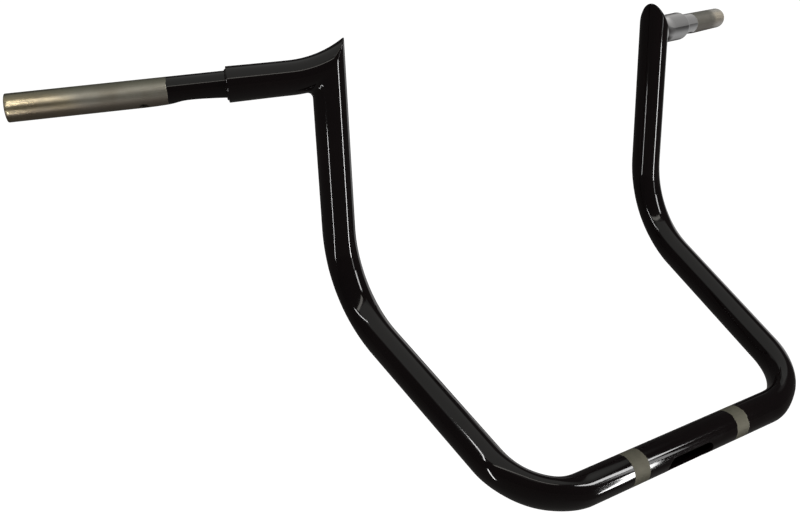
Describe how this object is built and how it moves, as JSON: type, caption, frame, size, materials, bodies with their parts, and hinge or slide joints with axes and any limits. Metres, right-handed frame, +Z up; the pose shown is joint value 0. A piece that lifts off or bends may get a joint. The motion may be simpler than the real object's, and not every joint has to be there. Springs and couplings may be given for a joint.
{
  "type": "motorcycle handlebar",
  "caption": "Tall welded motorcycle handlebar of thick bent tube, with pulled-back arms, bare grip tubes, pressed wire dents and a wire slot between the clamp bands.",
  "frame": {"origin": "on the tube's axis in the middle of the clamped straight", "axes": "+X across the bike, along the clamped straight; -Y the front of the bike; +Z up, as the uprights stand"},
  "size_m": [0.9534, 0.4002, 0.3928],
  "materials": {
    "gloss_black_paint": "gloss",
    "bare_steel": "satin"
  },
  "bodies": {
    "root": {"main_tube": "gloss_black_paint", "left_arm": "gloss_black_paint", "right_arm": "gloss_black_paint", "left_grip_tube": "bare_steel", "right_grip_tube": "bare_steel"}
  },
  "joints": []
}
